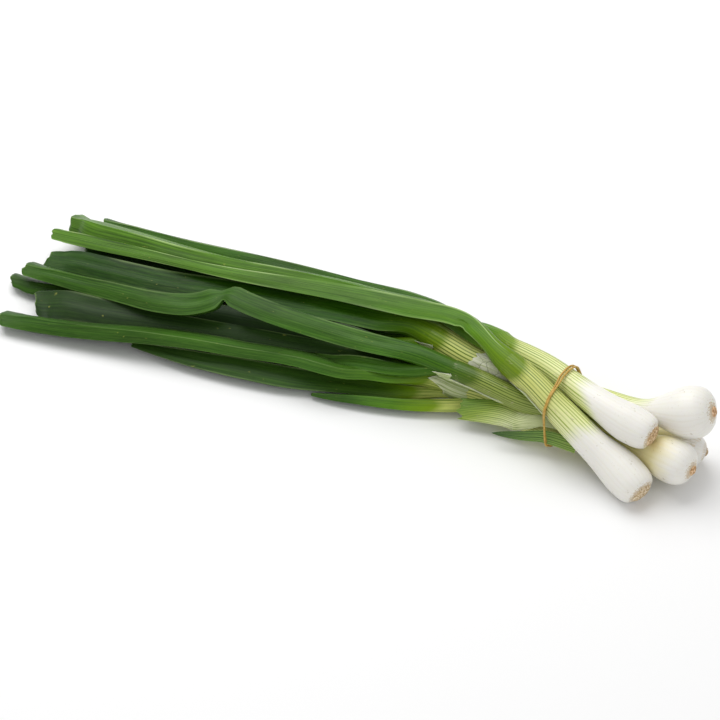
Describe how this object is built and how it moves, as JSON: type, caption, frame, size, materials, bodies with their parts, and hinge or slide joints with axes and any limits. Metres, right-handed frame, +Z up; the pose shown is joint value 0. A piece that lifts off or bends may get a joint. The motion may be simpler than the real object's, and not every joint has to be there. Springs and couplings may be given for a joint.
{
  "type": "spring onion bunch",
  "caption": "Bunch of spring onions lying on its side: round white bulbs, striped pale stems, long hollow green leaves cut at the tips, tied near the bulbs with a rubber band.",
  "frame": {"origin": "on the table, under the middle of the bunch's box", "axes": "+X along the bunch towards the bulbs, +Z up from the table, +Y away from the side that shows the front onion whole"},
  "size_m": [0.4196, 0.1076, 0.0513],
  "materials": {
    "sheath": "smooth and waxy, white on the bulb, striped pale green up the stem",
    "torn_sheath": "thin dry leaf base, striped yellow-green with a papery torn end",
    "leaf": "dark green with fine lengthwise veins and a dull waxy bloom",
    "root_plate": "dry, speckled and rough",
    "band": "matt tan rubber"
  },
  "bodies": {
    "root": {"onion_a": "sheath", "root_plate_a": "root_plate", "onion_b": "sheath", "root_plate_b": "root_plate", "onion_c": "sheath", "root_plate_c": "root_plate", "onion_d": "sheath", "root_plate_d": "root_plate", "onion_e": "sheath", "root_plate_e": "root_plate", "leaf_a1": "leaf", "leaf_a2": "leaf", "leaf_b1": "leaf", "leaf_b2": "leaf", "leaf_c1": "leaf", "leaf_c2": "leaf", "leaf_c3": "leaf", "leaf_d1": "leaf", "leaf_d2": "leaf", "leaf_d3": "leaf", "leaf_e1": "leaf", "leaf_e2": "leaf", "leaf_e3": "leaf", "leaf_e4": "leaf", "torn_leaf_base": "torn_sheath", "short_leaf": "leaf", "rubber_band": "band"}
  },
  "joints": []
}
